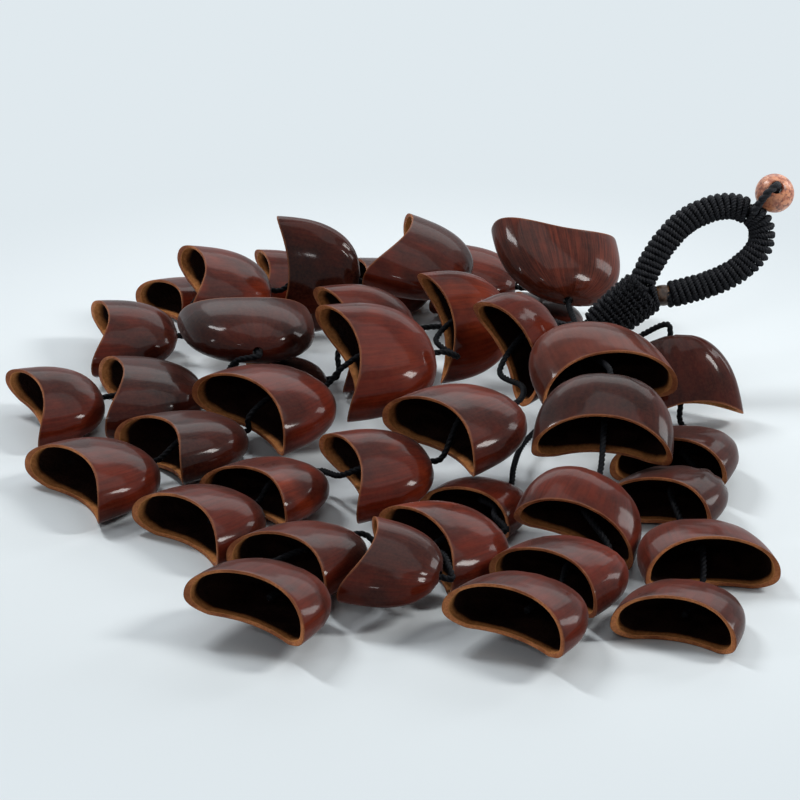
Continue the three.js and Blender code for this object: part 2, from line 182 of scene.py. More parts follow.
def makePaper(plan):
    # plain paper near the pile, clearing to the backdrop's own colour further out
    material, tree, out = newMaterial("palePaper")
    away = feed(tree, addNode(tree, "ShaderNodeVectorMath", operation="LENGTH"), i0=ownSpot(tree))
    clear = ramp(tree, away.outputs["Value"], plan["clearFrom"], plan["clearTo"])
    hide = math2(tree, "MULTIPLY", clear, shownRays(tree))
    paper = feed(tree, addNode(tree, "ShaderNodeBsdfDiffuse"), Color=(*plan["floor"], 1))
    glow = feed(tree, addNode(tree, "ShaderNodeEmission"), Color=(*plan["backdrop"], 1), Strength=1)
    mixed = feed(tree, addNode(tree, "ShaderNodeMixShader"), i0=hide, i1=paper.outputs[0], i2=glow.outputs[0])
    tree.links.new(mixed.outputs[0], out.inputs["Surface"])
    return material


def layFloor(plan):
    half = plan["floorSize"] / 2
    corners = [(-half, -half, 0), (half, -half, 0), (half, half, 0), (-half, half, 0)]
    mesh = bpy.data.meshes.new("paleFloor")
    mesh.from_pydata(corners, [], [(0, 1, 2, 3)])
    mesh.materials.append(makePaper(plan))
    floor = bpy.data.objects.new("paleFloor", mesh)
    floor.location.z = -plan["floorDrop"]
    bpy.context.scene.collection.objects.link(floor)


def setLamps(lamps):
    for name, box in lamps.items():
        data = bpy.data.lights.new(name, "AREA")
        data.shape = "RECTANGLE"
        data.size, data.size_y = box["size"]
        data.energy = box["watts"]
        data.color = box["tint"]
        light = bpy.data.objects.new(name, data)
        light.location = box["at"]
        toAim = Vector(box["aim"]) - Vector(box["at"])
        light.rotation_euler = toAim.to_track_quat("-Z", "Y").to_euler()
        bpy.context.scene.collection.objects.link(light)


setWorld(studio)
layFloor(studio)
setLamps(studio["lamps"])
print("camera, floor and lamps set")


# Shared material effects

def newGroup(name, inputs, outputs):
    # an input is a number with its first value, or a vector where that is None; the outputs are numbers
    group = bpy.data.node_groups.new(name, "ShaderNodeTree")
    for title, value in inputs.items():
        kind = "NodeSocketVector" if value is None else "NodeSocketFloat"
        socket = group.interface.new_socket(name=title, in_out="INPUT", socket_type=kind)
        if value is not None:
            socket.default_value = value
    for title in outputs:
        group.interface.new_socket(name=title, in_out="OUTPUT", socket_type="NodeSocketFloat")
    return group, group.nodes.new("NodeGroupInput").outputs, group.nodes.new("NodeGroupOutput").inputs


def placeGroup(tree, group, **values):
    return feed(tree, addNode(tree, "ShaderNodeGroup", node_tree=group), **values).outputs


def makeCloudyTone():
    # soft patches that differ from piece to piece
    group, given, made = newGroup(
        "cloudyTone", {"Spot": None, "Shift": 0.0, "Scale": 40.0, "Low": 0.4, "High": 0.65}, ["Mask"])
    cloud = feed(group, addNode(group, "ShaderNodeTexNoise", noise_dimensions="4D"),
                 Vector=given["Spot"], W=given["Shift"], Scale=given["Scale"], Detail=3.0, Roughness=0.55)
    group.links.new(ramp(group, cloud.outputs["Fac"], given["Low"], given["High"]), made["Mask"])
    return group


def makeFineLines():
    # fine lines that run along the third axis of the spot
    group, given, made = newGroup(
        "fineLines", {"Spot": None, "Shift": 0.0, "Lines": 20.0, "Run": 2.0}, ["Line", "Height"])
    stretch = feed(group, addNode(group, "ShaderNodeCombineXYZ"),
                   X=given["Lines"], Y=given["Lines"], Z=given["Run"])
    pulled = feed(group, addNode(group, "ShaderNodeVectorMath", operation="MULTIPLY"),
                  i0=given["Spot"], i1=stretch.outputs[0])
    fine = feed(group, addNode(group, "ShaderNodeTexNoise", noise_dimensions="4D"),
                Vector=pulled.outputs[0], W=given["Shift"], Scale=1.0, Detail=4.0, Roughness=0.6)
    group.links.new(ramp(group, fine.outputs["Fac"], low=0.38, high=0.62), made["Line"])
    group.links.new(fine.outputs["Fac"], made["Height"])
    return group


# on the skin and the sleeve this marks wear; in the lining it marks where painted shade gives way to the tan
# near the lip
def makeEdgeWearAndShade():
    # 1 at an edge, falling to 0 at the reach, broken up by noise
    group, given, made = newGroup(
        "edgeWear", {"Distance": 0.0, "Reach": 1.0, "Spot": None, "Breakup": 0.5, "Scale": 400.0}, ["Mask"])
    chips = feed(group, addNode(group, "ShaderNodeTexNoise"),
                 Vector=given["Spot"], Scale=given["Scale"], Detail=3.0)
    swing = math2(group, "MULTIPLY", math2(group, "SUBTRACT", chips.outputs["Fac"], 0.5), given["Breakup"])
    share = math2(group, "DIVIDE", given["Distance"], given["Reach"])
    group.links.new(ramp(group, math2(group, "ADD", share, swing), low=1.0, high=0.25), made["Mask"])
    return group


cloudyTone = makeCloudyTone()
fineLines = makeFineLines()
edgeWear = makeEdgeWearAndShade()


def addSurface(tree, out, colour, rough, height, bump, **gloss):
    # bump is its strength and its depth in metres
    relief = feed(tree, addNode(tree, "ShaderNodeBump"), Height=height, Strength=bump[0], Distance=bump[1])
    surface = feed(tree, addNode(tree, "ShaderNodeBsdfPrincipled"), Base_Color=colour, Roughness=rough,
                   Normal=relief.outputs[0], **gloss)
    tree.links.new(surface.outputs[0], out.inputs["Surface"])


# Shell skin

# a lighter brown made greyer all over as painted sheen, shared by two tones
sheenGreyColours = {
    "dark": (0.054, 0.0105, 0.0056), "mid": (0.118, 0.0205, 0.0098), "warm": (0.170, 0.0290, 0.0125),
}
shellTones = {
    "deep": {
        "dark": (0.020, 0.0036, 0.0024), "mid": (0.050, 0.0066, 0.0034), "warm": (0.085, 0.0105, 0.0044),
        "glow": 0.4, "grain": 0.42, "lines": 15.0,
    },
    "chestnut": {
        "dark": (0.040, 0.0055, 0.0028), "mid": (0.098, 0.0108, 0.0040), "warm": (0.165, 0.0185, 0.0054),
        "glow": 0.6, "grain": 0.42, "lines": 15.0,
    },
    "russet": {
        "dark": (0.050, 0.0060, 0.0028), "mid": (0.124, 0.0125, 0.0040), "warm": (0.225, 0.0280, 0.0066),
        "glow": 0.9, "grain": 0.42, "lines": 15.0,
    },
    # a tone lighter and greyer all over: painted sheen
    "dusty": {**sheenGreyColours, "glow": 0.6, "grain": 0.3, "lines": 15.0},
    "lined": {**sheenGreyColours, "glow": 0.6, "grain": 0.85, "lines": 34.0},
}
skinForm = {
    "spread": 53.0, "patchShift": 9.0, "creaseShift": 3.0,
    "clouds": {"Scale": 46.0, "Low": 0.38, "High": 0.62},
    "patches": {"Scale": 30.0, "Low": 0.50, "High": 0.70},
    "streakRun": 2.6, "streakTint": (0.30, 0.22, 0.20), "streakHeight": 0.8,
    "pores": {"Lines": 900.0, "Run": 900.0},
    "poreColour": (0.15, 0.048, 0.022), "poreShare": 0.10, "poreHeight": 0.3,
    "wear": {"Reach": 0.0005, "Breakup": 0.9, "Scale": 330.0},
    "wearColour": (0.22, 0.080, 0.035), "wearShare": 0.5, "wearRough": 0.2,
    "creases": {"Lines": 2.2, "Run": 30.0}, "creaseReach": (0.024, 0.042), "creaseHeight": 2.2,
    "rough": (0.27, 0.38), "bump": (0.2, 0.0006),
    "gloss": {
        "Coat_Weight": 0.22, "Coat_Roughness": 0.10, "Specular_IOR_Level": 0.015,
        "Sheen_Weight": 0.10, "Sheen_Roughness": 0.4,
    },
}


def makeSkin(name, tone):
    form = skinForm
    material, tree, out = newMaterial(name)
    spot = ownSpot(tree)
    fan = meshValue(tree, "fanSpot", "Vector")
    fromLip = meshValue(tree, "fromLip")
    shift = ownShift(tree, form["spread"])
    patchShift = math2(tree, "ADD", shift, form["patchShift"])
    creaseShift = math2(tree, "ADD", shift, form["creaseShift"])
    clouds = placeGroup(tree, cloudyTone, Spot=spot, Shift=shift, **form["clouds"])["Mask"]
    patches = placeGroup(tree, cloudyTone, Spot=spot, Shift=patchShift, **form["patches"])["Mask"]
    streaks = placeGroup(tree, fineLines, Spot=fan, Shift=shift, Lines=tone["lines"], Run=form["streakRun"])
    pores = placeGroup(tree, fineLines, Spot=spot, Shift=shift, **form["pores"])
    creases = placeGroup(tree, fineLines, Spot=fan, Shift=creaseShift, **form["creases"])["Height"]
    wear = placeGroup(tree, edgeWear, Distance=fromLip, Spot=spot, **form["wear"])["Mask"]
    colour = blend(tree, clouds, tone["dark"], tone["mid"])
    colour = blend(tree, scaled(tree, patches, tone["glow"]), colour, tone["warm"])
    colour = blend(tree, scaled(tree, streaks["Line"], tone["grain"]), colour, form["streakTint"], "MULTIPLY")
    colour = blend(tree, scaled(tree, pores["Line"], form["poreShare"]), colour, form["poreColour"])
    colour = blend(tree, scaled(tree, wear, form["wearShare"]), colour, form["wearColour"])
    rough = ramp(tree, clouds, 0.0, 1.0, *form["rough"])
    rough = math2(tree, "ADD", rough, scaled(tree, wear, form["wearRough"]))
    lineHeight = scaled(tree, streaks["Height"], form["streakHeight"])
    height = math2(tree, "ADD", lineHeight, scaled(tree, pores["Height"], form["poreHeight"]))
    nearHole = ramp(tree, fromLip, *form["creaseReach"])
    folds = scaled(tree, math2(tree, "MULTIPLY", creases, nearHole), form["creaseHeight"])
    addSurface(tree, out, colour, rough, math2(tree, "ADD", height, folds), form["bump"], **form["gloss"])
    return material


# Sanded lip

lipForm = {
    "spread": 31.0, "clouds": {"Scale": 95.0, "Low": 0.36, "High": 0.62},
    "dark": (0.30, 0.090, 0.034), "pale": (0.58, 0.215, 0.080),
    "grit": {"Scale": 1400.0, "Low": 0.40, "High": 0.62},
    "gritColour": (0.17, 0.055, 0.024), "gritShare": 0.35,
    "rim": (0.30, 0.52), "rimColour": (0.11, 0.034, 0.016), "rimShare": 0.6,
    "rough": (0.58, 0.74), "bump": (0.35, 0.0003), "specular": 0.15,
}


def makeLip():
    form = lipForm
    material, tree, out = newMaterial("sandedLip")
    spot = ownSpot(tree)
    shift = ownShift(tree, form["spread"])
    fromMiddle = math2(tree, "SUBTRACT", meshValue(tree, "acrossLip"), 0.5)
    rim = ramp(tree, math2(tree, "ABSOLUTE", fromMiddle, 0.0), *form["rim"])
    clouds = placeGroup(tree, cloudyTone, Spot=spot, Shift=shift, **form["clouds"])["Mask"]
    grit = placeGroup(tree, cloudyTone, Spot=spot, Shift=shift, **form["grit"])["Mask"]
    colour = blend(tree, clouds, form["dark"], form["pale"])
    colour = blend(tree, scaled(tree, grit, form["gritShare"]), colour, form["gritColour"])
    colour = blend(tree, scaled(tree, rim, form["rimShare"]), colour, form["rimColour"])
    rough = ramp(tree, grit, 0.0, 1.0, *form["rough"])
    addSurface(tree, out, colour, rough, grit, form["bump"], Specular_IOR_Level=form["specular"])
    return material


# Lining: its own tan just inside the lip, with painted shade darkening it deeper in

liningForm = {
    "spread": 23.0, "clouds": {"Scale": 120.0, "Low": 0.32, "High": 0.68},
    # dark and mid are painted shade for the unlit hollow; paleColour is the lining's own tan near the lip
    "dark": (0.006, 0.0026, 0.0022), "mid": (0.018, 0.0072, 0.0048),
    "pale": {"Reach": 0.0030, "Breakup": 0.8, "Scale": 110.0}, "paleColour": (0.56, 0.230, 0.080),
    "fibres": {"Scale": 800.0, "Low": 0.35, "High": 0.65},
    "fibreTint": (0.35, 0.30, 0.28), "fibreShare": 0.3,
    "rough": (0.55, 0.8), "bump": (0.4, 0.0005), "specular": 0.05,
}


def makeLining():
    form = liningForm
    material, tree, out = newMaterial("shellLining")
    spot = ownSpot(tree)
    shift = ownShift(tree, form["spread"])
    clouds = placeGroup(tree, cloudyTone, Spot=spot, Shift=shift, **form["clouds"])["Mask"]
    fibres = placeGroup(tree, cloudyTone, Spot=spot, Shift=shift, **form["fibres"])["Mask"]
    pale = placeGroup(tree, edgeWear, Distance=meshValue(tree, "fromLip"), Spot=spot, **form["pale"])["Mask"]
    # painted shade: dark deep in the hollow, giving way to the lining's own tan near the lip
    colour = blend(tree, clouds, form["dark"], form["mid"])
    colour = blend(tree, pale, colour, form["paleColour"])
    colour = blend(tree, scaled(tree, fibres, form["fibreShare"]), colour, form["fibreTint"], "MULTIPLY")
    rough = ramp(tree, clouds, 0.0, 1.0, *form["rough"])
    addSurface(tree, out, colour, rough, fibres, form["bump"], Specular_IOR_Level=form["specular"])
    return material


# Black nylon: fibres along the cord, pale specks of painted highlight, and painted shade in the grooves
# between the plies

nylonForm = {
    "dark": (0.0050, 0.0054, 0.0068), "fibreRun": 900.0,
    # the pale specks are painted highlights glinting off the fibres
    "glints": {"Shift": 4.0, "Scale": 900.0, "Low": 0.62, "High": 0.78},
    "glintColour": (0.085, 0.090, 0.102), "glintShare": 0.55,
    # the groove colour is painted shade between the plies
    "grooveShadeColour": (0.0016, 0.0016, 0.0020), "grooveShadeShare": 0.85,
    "rough": (0.40, 0.60), "bump": (0.6, 0.0003),
    "kinds": {
        "woundNylon": {"fibres": 9.0, "pale": (0.0300, 0.0320, 0.0400), "specular": 0.16},
        # the strand cords are the same black nylon painted darker, as painted shade for the cords down inside
        # the pile
        "strandNylon": {"fibres": 9.0, "pale": (0.0100, 0.0108, 0.0135), "specular": 0.05},
        "ropeNylon": {"fibres": 14.0, "pale": (0.0160, 0.0172, 0.0215), "specular": 0.08},
    },
}


def makeNylon(name):
    form, kind = nylonForm, nylonForm["kinds"][name]
    material, tree, out = newMaterial(name)
    along = meshValue(tree, "cordSpot", "Vector")
    hairs = placeGroup(tree, fineLines, Spot=along, Shift=0.0, Lines=kind["fibres"], Run=form["fibreRun"])
    glints = placeGroup(tree, cloudyTone, Spot=ownSpot(tree), **form["glints"])["Mask"]
    colour = blend(tree, hairs["Line"], form["dark"], kind["pale"])
    # pale specks painted on as highlights glinting off the fibres
    colour = blend(tree, scaled(tree, glints, form["glintShare"]), colour, form["glintColour"])
    # painted shade darkening the grooves between the plies
    groove = scaled(tree, meshValue(tree, "groove"), form["grooveShadeShare"])
    colour = blend(tree, groove, colour, form["grooveShadeColour"])
    rough = ramp(tree, hairs["Line"], 0.0, 1.0, *form["rough"])
    addSurface(tree, out, colour, rough, hairs["Height"], form["bump"], Specular_IOR_Level=kind["specular"])
    return material


# Bead wood and sleeve horn

beadWoodForm = {
    "grain": {"Shift": 2.0, "Lines": 900.0, "Run": 180.0},
    "grainColour": (0.74, 0.36, 0.21), "grainShare": 0.4,
    "stains": {"Shift": 5.0, "Scale": 330.0, "Low": 0.42, "High": 0.57},
    "pale": (0.70, 0.270, 0.130), "stained": (0.36, 0.088, 0.040),
    "flecks": {"Shift": 8.0, "Scale": 520.0, "Low": 0.53, "High": 0.63},
    "fleckColour": (0.13, 0.032, 0.016), "fleckShare": 0.75,
    "rough": (0.34, 0.5), "bump": (0.2, 0.0003), "gloss": {"Coat_Weight": 0.3, "Coat_Roughness": 0.2},
}


def makeBeadWood():
    form = beadWoodForm
    material, tree, out = newMaterial("mottledBeadWood")
    spot = ownSpot(tree)
    grain = placeGroup(tree, fineLines, Spot=spot, **form["grain"])
    stains = placeGroup(tree, cloudyTone, Spot=spot, **form["stains"])["Mask"]
    flecks = placeGroup(tree, cloudyTone, Spot=spot, **form["flecks"])["Mask"]
    colour = blend(tree, stains, form["pale"], form["stained"])
    colour = blend(tree, scaled(tree, grain["Line"], form["grainShare"]), colour, form["grainColour"])
    colour = blend(tree, scaled(tree, flecks, form["fleckShare"]), colour, form["fleckColour"])
    rough = ramp(tree, stains, 0.0, 1.0, *form["rough"])
    addSurface(tree, out, colour, rough, grain["Height"], form["bump"], **form["gloss"])
    return material


sleeveHornForm = {
    "stains": {"Shift": 3.0, "Scale": 420.0, "Low": 0.38, "High": 0.64},
    "dark": (0.030, 0.0150, 0.0085), "stained": (0.085, 0.042, 0.022),
    "chips": {"Reach": 0.0009, "Breakup": 1.2, "Scale": 800.0},
    "chipColour": (0.33, 0.165, 0.070), "chipShare": 0.9,
    "rough": (0.32, 0.55), "bump": (0.4, 0.0003),
}


def makeSleeveHorn():
    form = sleeveHornForm
    material, tree, out = newMaterial("sleeveBrown")
    spot = ownSpot(tree)
    stains = placeGroup(tree, cloudyTone, Spot=spot, **form["stains"])["Mask"]
    chips = placeGroup(tree, edgeWear, Distance=meshValue(tree, "rim"), Spot=spot, **form["chips"])["Mask"]
    colour = blend(tree, stains, form["dark"], form["stained"])
    colour = blend(tree, scaled(tree, chips, form["chipShare"]), colour, form["chipColour"])
    rough = ramp(tree, stains, 0.0, 1.0, *form["rough"])
    addSurface(tree, out, colour, rough, stains, form["bump"])
    return material


skins = {name: makeSkin(name + "Skin", tone) for name, tone in shellTones.items()}
sandedLip = makeLip()
shellLining = makeLining()
woundNylon, strandNylon, ropeNylon = (makeNylon(name) for name in nylonForm["kinds"])
mottledBeadWood = makeBeadWood()
sleeveBrown = makeSleeveHorn()
print("finishes made:", len(bpy.data.materials), "materials")


# Mesh helpers

def addObject(mesh, body, nodes, place=None):
    piece = bpy.data.objects.new(mesh.name, mesh)
    if place is not None:
        piece.matrix_world = place
    bpy.context.scene.collection.objects.link(piece)
    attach(piece, body)
    if nodes:
        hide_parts(*nodes)
    return piece


def standing(axes, centre):
    # turns X, Y and Z to the three axes and moves to a centre in metres
    matrix = Matrix.Identity(4)
    for row in range(3):
        for column in range(3):
            matrix[row][column] = axes[column][row]
        matrix[row][3] = centre[row]
    return matrix


def ringFaces(rows, count, closed):
    # quads between neighbouring rings; an open run of rings gets two end caps
    k = np.arange(count)
    faces = []
    for r in range(rows if closed else rows - 1):
        low, high = r * count, ((r + 1) % rows) * count
        faces.append(np.stack([low + k, low + (k + 1) % count, high + (k + 1) % count, high + k], axis=1))
    faces = np.concatenate(faces).tolist()
    if not closed:
        faces.append(list(range(count - 1, -1, -1)))
        faces.append(list(range((rows - 1) * count, rows * count)))
    return faces


def smoothMesh(name, points, faces, values, materials, slots=None):
    # values holds named numbers or vectors, one for every point; slots a material number for every face
    mesh = bpy.data.meshes.new(name)
    mesh.from_pydata(points.tolist(), [], faces)
    for title, numbers in values.items():
        numbers = np.asarray(numbers, np.float32)
        vector = numbers.ndim == 2
        layer = mesh.attributes.new(title, "FLOAT_VECTOR" if vector else "FLOAT", "POINT")
        layer.data.foreach_set("vector" if vector else "value", numbers.ravel())
    for material in materials:
        mesh.materials.append(material)
    if slots is not None:
        mesh.polygons.foreach_set("material_index", slots.astype(np.int32))
    mesh.polygons.foreach_set("use_smooth", np.ones(len(mesh.polygons), bool))
    mesh.update()
    return mesh


def ringMesh(name, rings, values, materials, bands=None):
    # a closed run of rings; bands holds a material number for each ring and the next
    count = len(rings[0])
    slots = None if bands is None else np.repeat(bands, count)
    faces = ringFaces(len(rings), count, True)
    return smoothMesh(name, np.concatenate(rings), faces, values, materials, slots)


def unit(vector):
    return vector / np.linalg.norm(vector)


def travel(line):
    return np.concatenate([[0], np.cumsum(np.linalg.norm(np.diff(line, axis=0), axis=1))])


def sampled(at, far, vectors):
    return np.stack([np.interp(at, far, vectors[:, axis]) for axis in range(3)], axis=1)


def respaced(line, step):
    far = travel(line)
    at = np.linspace(0, far[-1], max(3, int(math.ceil(far[-1] / step)) + 1))
    return sampled(at, far, line)


def smoothLine(stops, step, perSpan=24, least=1e-6):
    # centripetal Catmull-Rom curve through the stops, with points about a step apart
    stops = np.asarray(stops, float)
    ends = [2 * stops[0] - stops[1], *stops, 2 * stops[-1] - stops[-2]]
    t = np.linspace(0, 1, perSpan, endpoint=False)[:, None]
    line = []
    for k in range(1, len(ends) - 2):
        p = [np.asarray(ends[k + d]) for d in (-1, 0, 1, 2)]
        gaps = [max(np.linalg.norm(p[d + 1] - p[d]), least) ** 0.5 for d in range(3)]
        first = (p[1] - p[0]) / gaps[0] - (p[2] - p[0]) / (gaps[0] + gaps[1]) + (p[2] - p[1]) / gaps[1]
        last = (p[2] - p[1]) / gaps[1] - (p[3] - p[1]) / (gaps[1] + gaps[2]) + (p[3] - p[2]) / gaps[2]
        first, last = first * gaps[1], last * gaps[1]
        line.append((2 * t**3 - 3 * t**2 + 1) * p[1] + (t**3 - 2 * t**2 + t) * first
                    + (3 * t**2 - 2 * t**3) * p[2] + (t**3 - t**2) * last)
    return respaced(np.concatenate([*line, [ends[-2]]]), step)


def carriedFrames(line, steep=0.9):
    # a tangent and a side at each point, carried along without twist
    ways = np.gradient(line, axis=0)
    ways /= np.linalg.norm(ways, axis=1)[:, None]
    helper = np.array([0, 0, 1.0]) if abs(ways[0][2]) < steep else np.array([1.0, 0, 0])
    side = unit(np.cross(helper, ways[0]))
    sides = []
    for way in ways:
        side = unit(side - way * side.dot(way))
        sides.append(side)
    return ways, np.array(sides)


# the groove mask marks where painted shade falls between the plies
grooveSharpness = 1.6  # higher makes the dark groove between two plies narrower


def laidCord(line, radius, plan):
    # rings of a cord laid up from plies, with where each point lies on the cord; from millimetres to metres
    line = line * mm
    radii = np.broadcast_to(radius * mm, (len(line),))
    ways, across = carriedFrames(line)
    other = np.cross(ways, across)
    far = travel(line)
    angles = np.linspace(0, 2 * math.pi, plan["sides"], endpoint=False)
    lobe = np.abs(np.cos(0.5 * plan["plies"] * angles))
    rings, spots = [], []
    for k, centre in enumerate(line):
        turned = angles + 2 * math.pi * far[k] / (plan["lay"] * mm)
        reach = radii[k] * (1 - plan["dent"] * (1 - lobe))
        rings.append(centre + np.outer(reach * np.cos(turned), across[k])
                     + np.outer(reach * np.sin(turned), other[k]))
        spots.append(np.stack([np.cos(angles), np.sin(angles), np.full(plan["sides"], far[k])], axis=1))
    groove = np.tile(np.clip(1 - lobe * grooveSharpness, 0, 1), len(line))
    return rings, {"cordSpot": np.concatenate(spots), "groove": groove}


def cordsMesh(name, cords, material):
    # one mesh of laid cords, each with capped ends
    points, faces, base = [], [], 0
    for rings, values in cords:
        points += rings
        faces += [[base + i for i in face] for face in ringFaces(len(rings), len(rings[0]), False)]
        base += len(rings) * len(rings[0])
    values = {title: np.concatenate([cord[1][title] for cord in cords]) for title in ("cordSpot", "groove")}
    return smoothMesh(name, np.concatenate(points), faces, values, [material])


# Strand plan, in millimetres and degrees

pileCentre = np.array([0, -52.0, 0])  # the part's origin, where the plan's own is the middle of the photo


def pod(x, y, z, heading, pitch, roll, size, tone, via=(), flutes=0.3):
    # its hole end is at x, y and z, with no z if it lies on the floor; via holds the cord's stops before it
    return {"at": (x, y, z), "heading": heading, "pitch": pitch, "roll": roll, "size": size, "tone": tone,
            "via": via, "flutes": flutes}


strandPlans = {
    "front": {"side": 15, "pods": [
        pod(66.5, -15.5, 36.5, 288, -13, -3, 1.01, "dusty"),
        pod(77.5, -61, 37, 263, -22, -2, 0.96, "deep"),
        pod(71, -111.5, 21, 252, -16, -23, 0.85, "chestnut"),
        pod(71, -152, 11.5, 230, 0, 0, 0.87, "russet"),
        pod(53, -180.5, 12, 238, 3, -3, 0.89, "chestnut")]},
    "right": {"side": 290, "pods": [
        pod(103.5, -12, 33, 290, -62, 10, 0.86, "deep", [(83, 0, 20), (94, -4, 30)], flutes=1.0),
        pod(112.5, -52.5, None, 246, 0, 8, 0.86, "deep", [(107, -29, 5), (111, -40, 5)]),
        pod(107.5, -87, None, 241, 0, 9, 0.85, "deep", flutes=1.0),
        pod(102, -128.5, None, 281, 0, -4, 0.91, "chestnut"),
        pod(103.5, -171, None, 250, 0, 0, 0.83, "chestnut")]},
    "fore": {"side": 335, "pods": [
        pod(38.5, -90, None, 237, 0, 0, 0.72, "russet",
            [(70, -8, 16), (58, -30, 8), (46, -55, 7), (42, -76, 7.5)]),
        pod(34.5, -133, 10, 213, 2, -9, 0.89, "russet", [(34, -110, 9), (34, -120, 10)]),
        pod(14, -175, 14.5, 164, 4, -11, 0.78, "chestnut", [(10, -150, 12), (15, -161, 16), (17, -171, 16)]),
        pod(-19, -135.5, None, 228, 0, 6, 0.91, "chestnut",
            [(-11.5, -165, 14), (-10, -156, 5.5), (-7, -138, 5), (-12, -131, 8)]),
        pod(-35, -172.5, 12.5, 240, 4, -5, 0.9, "chestnut", [(-46, -158, 10), (-45, -166, 11)])]},
    "middle": {"side": 60, "pods": [
        pod(59.5, 4, 29, 229, -1, -56, 0.81, "chestnut"),
        pod(40.5, -66, 28.5, 219, -5, -1, 0.99, "chestnut", [(38, -26, 24), (46, -44, 26)]),
        pod(11, -91.5, 18, 197, -5, -9, 0.89, "russet"),
        pod(-32.5, -83.5, None, 225, 0, 6, 0.88, "russet", [(-22, -93, 13), (-26, -87, 11)]),
        pod(-54.5, -106, None, 223, 0, 0, 0.89, "chestnut")]},
    "long": {"side": 120, "pods": [
        pod(43, 23, 25, 197, -1, -50, 0.83, "russet"),
        pod(13, -15.5, 27, 195, 0, -24, 1.02, "russet", [(14, 4, 24), (22, -12, 24)]),
        pod(-31, -28, 18, 222, -1, -4, 1.01, "russet", [(-22, -24.5, 25)]),
        pod(-60.5, -51.5, None, 212, 0, 9, 0.98, "deep", [(-57, -49.5, 15.5)]),
        pod(-93, -72, None, 216, 0, 0, 0.96, "chestnut")]},
    "left": {"side": 165, "pods": [
        pod(6.5, 28, 18, 196, -1, -30, 0.91, "chestnut", [(52, 36, 20), (26, 34, 17)]),
        pod(-29, 8, None, 195, 0, 0, 0.7, "deep", [(-24, 16, 14), (-24, 10, 8)]),
        pod(-54.5, -15, 27, 100, -6, 4, 0.99, "deep", [(-58, 2, 8), (-66, -9, 15), (-62, -17.5, 25)]),
        pod(-75.5, -14, None, 187, 0, 0, 0.99, "deep", [(-64, 32, 18), (-64, 18, 9)], flutes=0.8),
        pod(-114.5, -18, None, 202, 0, -12, 0.81, "chestnut")]},
    "back": {"side": 250, "pods": [
        pod(74, 52, None, 170, 0, 0, 0.82, "chestnut", [(82, 20, 18), (86, 46, 9)]),
        pod(28, 67.5, 22.5, 162, 12, -7, 0.94, "chestnut", [(43, 57, 10), (34, 58, 17)]),
        pod(-16, 60, 25, 170, 0, -72, 0.88, "deep", flutes=0.9),
        pod(-52, 61, 20.5, 189, 6, -9, 0.9, "russet"),
        pod(-88.5, 36, 11.5, 184, -2, -7, 0.86, "chestnut", [(-84, 44, 19)])]},
    "far": {"side": 210, "pods": [
        pod(67, 45, 22.5, 97, 18, 16, 0.99, "lined"),
        pod(48, 91, None, 165, 0, -10, 0.8, "chestnut", [(61, 84, 35), (61, 92, 26), (58, 90, 12)]),
        pod(12, 95, None, 188, 0, 0, 0.85, "chestnut"),
        pod(-31, 87, 11, 182, 0, -20, 0.72, "russet"),
        pod(-73, 88.5, None, 212, 0, 6, 0.75, "chestnut")]},
}


def strandBody(strand):
    return "handle" if strand == "fore" else "strand_" + strand


# Seed shells

shellForm = {
    "width": 54, "length": 68, "depth": 40, "rise": 13, "belly": 10, "fullness": 2.3,
    "bellyFlat": 1.6, "bellySoft": 0.5, "bellyEase": 0.35,
    "wall": 1.0, "edgeWall": 1.25, "edgePower": 6, "floorWall": 0.7,
    "hole": 2.2, "holeRound": 0.35, "roundShare": 0.02,
    "collar": 0.9, "collarShare": 0.06, "innerStart": 0.12,
    "mouthDip": 9, "lipRound": 0.2, "lipBack": 0.25, "lipInset": (0.12, 0.98), "lipStops": (0.14, 0.5, 0.86),
    "around": 84, "outerRings": 34, "innerRings": 20,
}
growthForm = {
    "seed": 7,
    "wobble": 0.32, "wobbleGrain": 0.042, "wobbleStep": (7.3, 3.1), "wobbleFrom": 2, "wobbleRun": 10,
    "fluteCircle": 4.2, "fluteStep": 5.7, "fluteRise": 6, "fluteEnd": 1.15, "flutePower": 1.5,
    "slack": 0.22, "slackRise": 8, "skinRun": 1.15,
}


def podSizes(size):
    form = shellForm
    return {
        "half": form["length"] * size / 2, "wide": form["width"] * size / 2, "rise": form["rise"] * size,
        "belly": form["belly"] * size, "depth": form["depth"] * size, "dip": form["mouthDip"] * size,
    }


def signedPower(share, power):
    return np.sign(share) * np.abs(share) ** power


def skinPoints(sizes, turn, angles, inset):
    # a full oval in plan and in section, with a worn flat under the belly
    form = shellForm
    power = 2 / form["fullness"]
    across, up = signedPower(np.cos(angles), power), signedPower(np.sin(angles), power)
    height = np.where(up > 0, sizes["rise"], sizes["belly"])
    reach = signedPower(np.sin(turn), power)
    x = sizes["half"] - (sizes["half"] - inset) * signedPower(np.cos(turn), power)
    y = (sizes["wide"] - inset) * reach * across
    z = (height - inset) * reach * up
    flat, soft = inset + form["bellyFlat"] - sizes["belly"], form["bellySoft"]
    eased = flat + form["bellyEase"] * soft * np.exp((z - flat - soft) / soft)
    z = np.where(z < flat + soft, np.maximum(z, eased), z)
    return np.stack([x, y, z], axis=1)


def lipTurns(sizes, angles, inset, tries=12, most=0.99):
    # where the skin meets the curved cut of the mouth, found closer with each try
    turn = np.full(len(angles), math.pi / 2)
    for _ in range(tries):
        y = skinPoints(sizes, turn, angles, inset)[:, 1]
        cut = sizes["depth"] - sizes["dip"] * (1 - (y / sizes["wide"]) ** 2)
        share = np.clip((sizes["half"] - cut) / (sizes["half"] - inset), -most, most)
        turn = np.arccos(signedPower(share, shellForm["fullness"] / 2))
    return turn


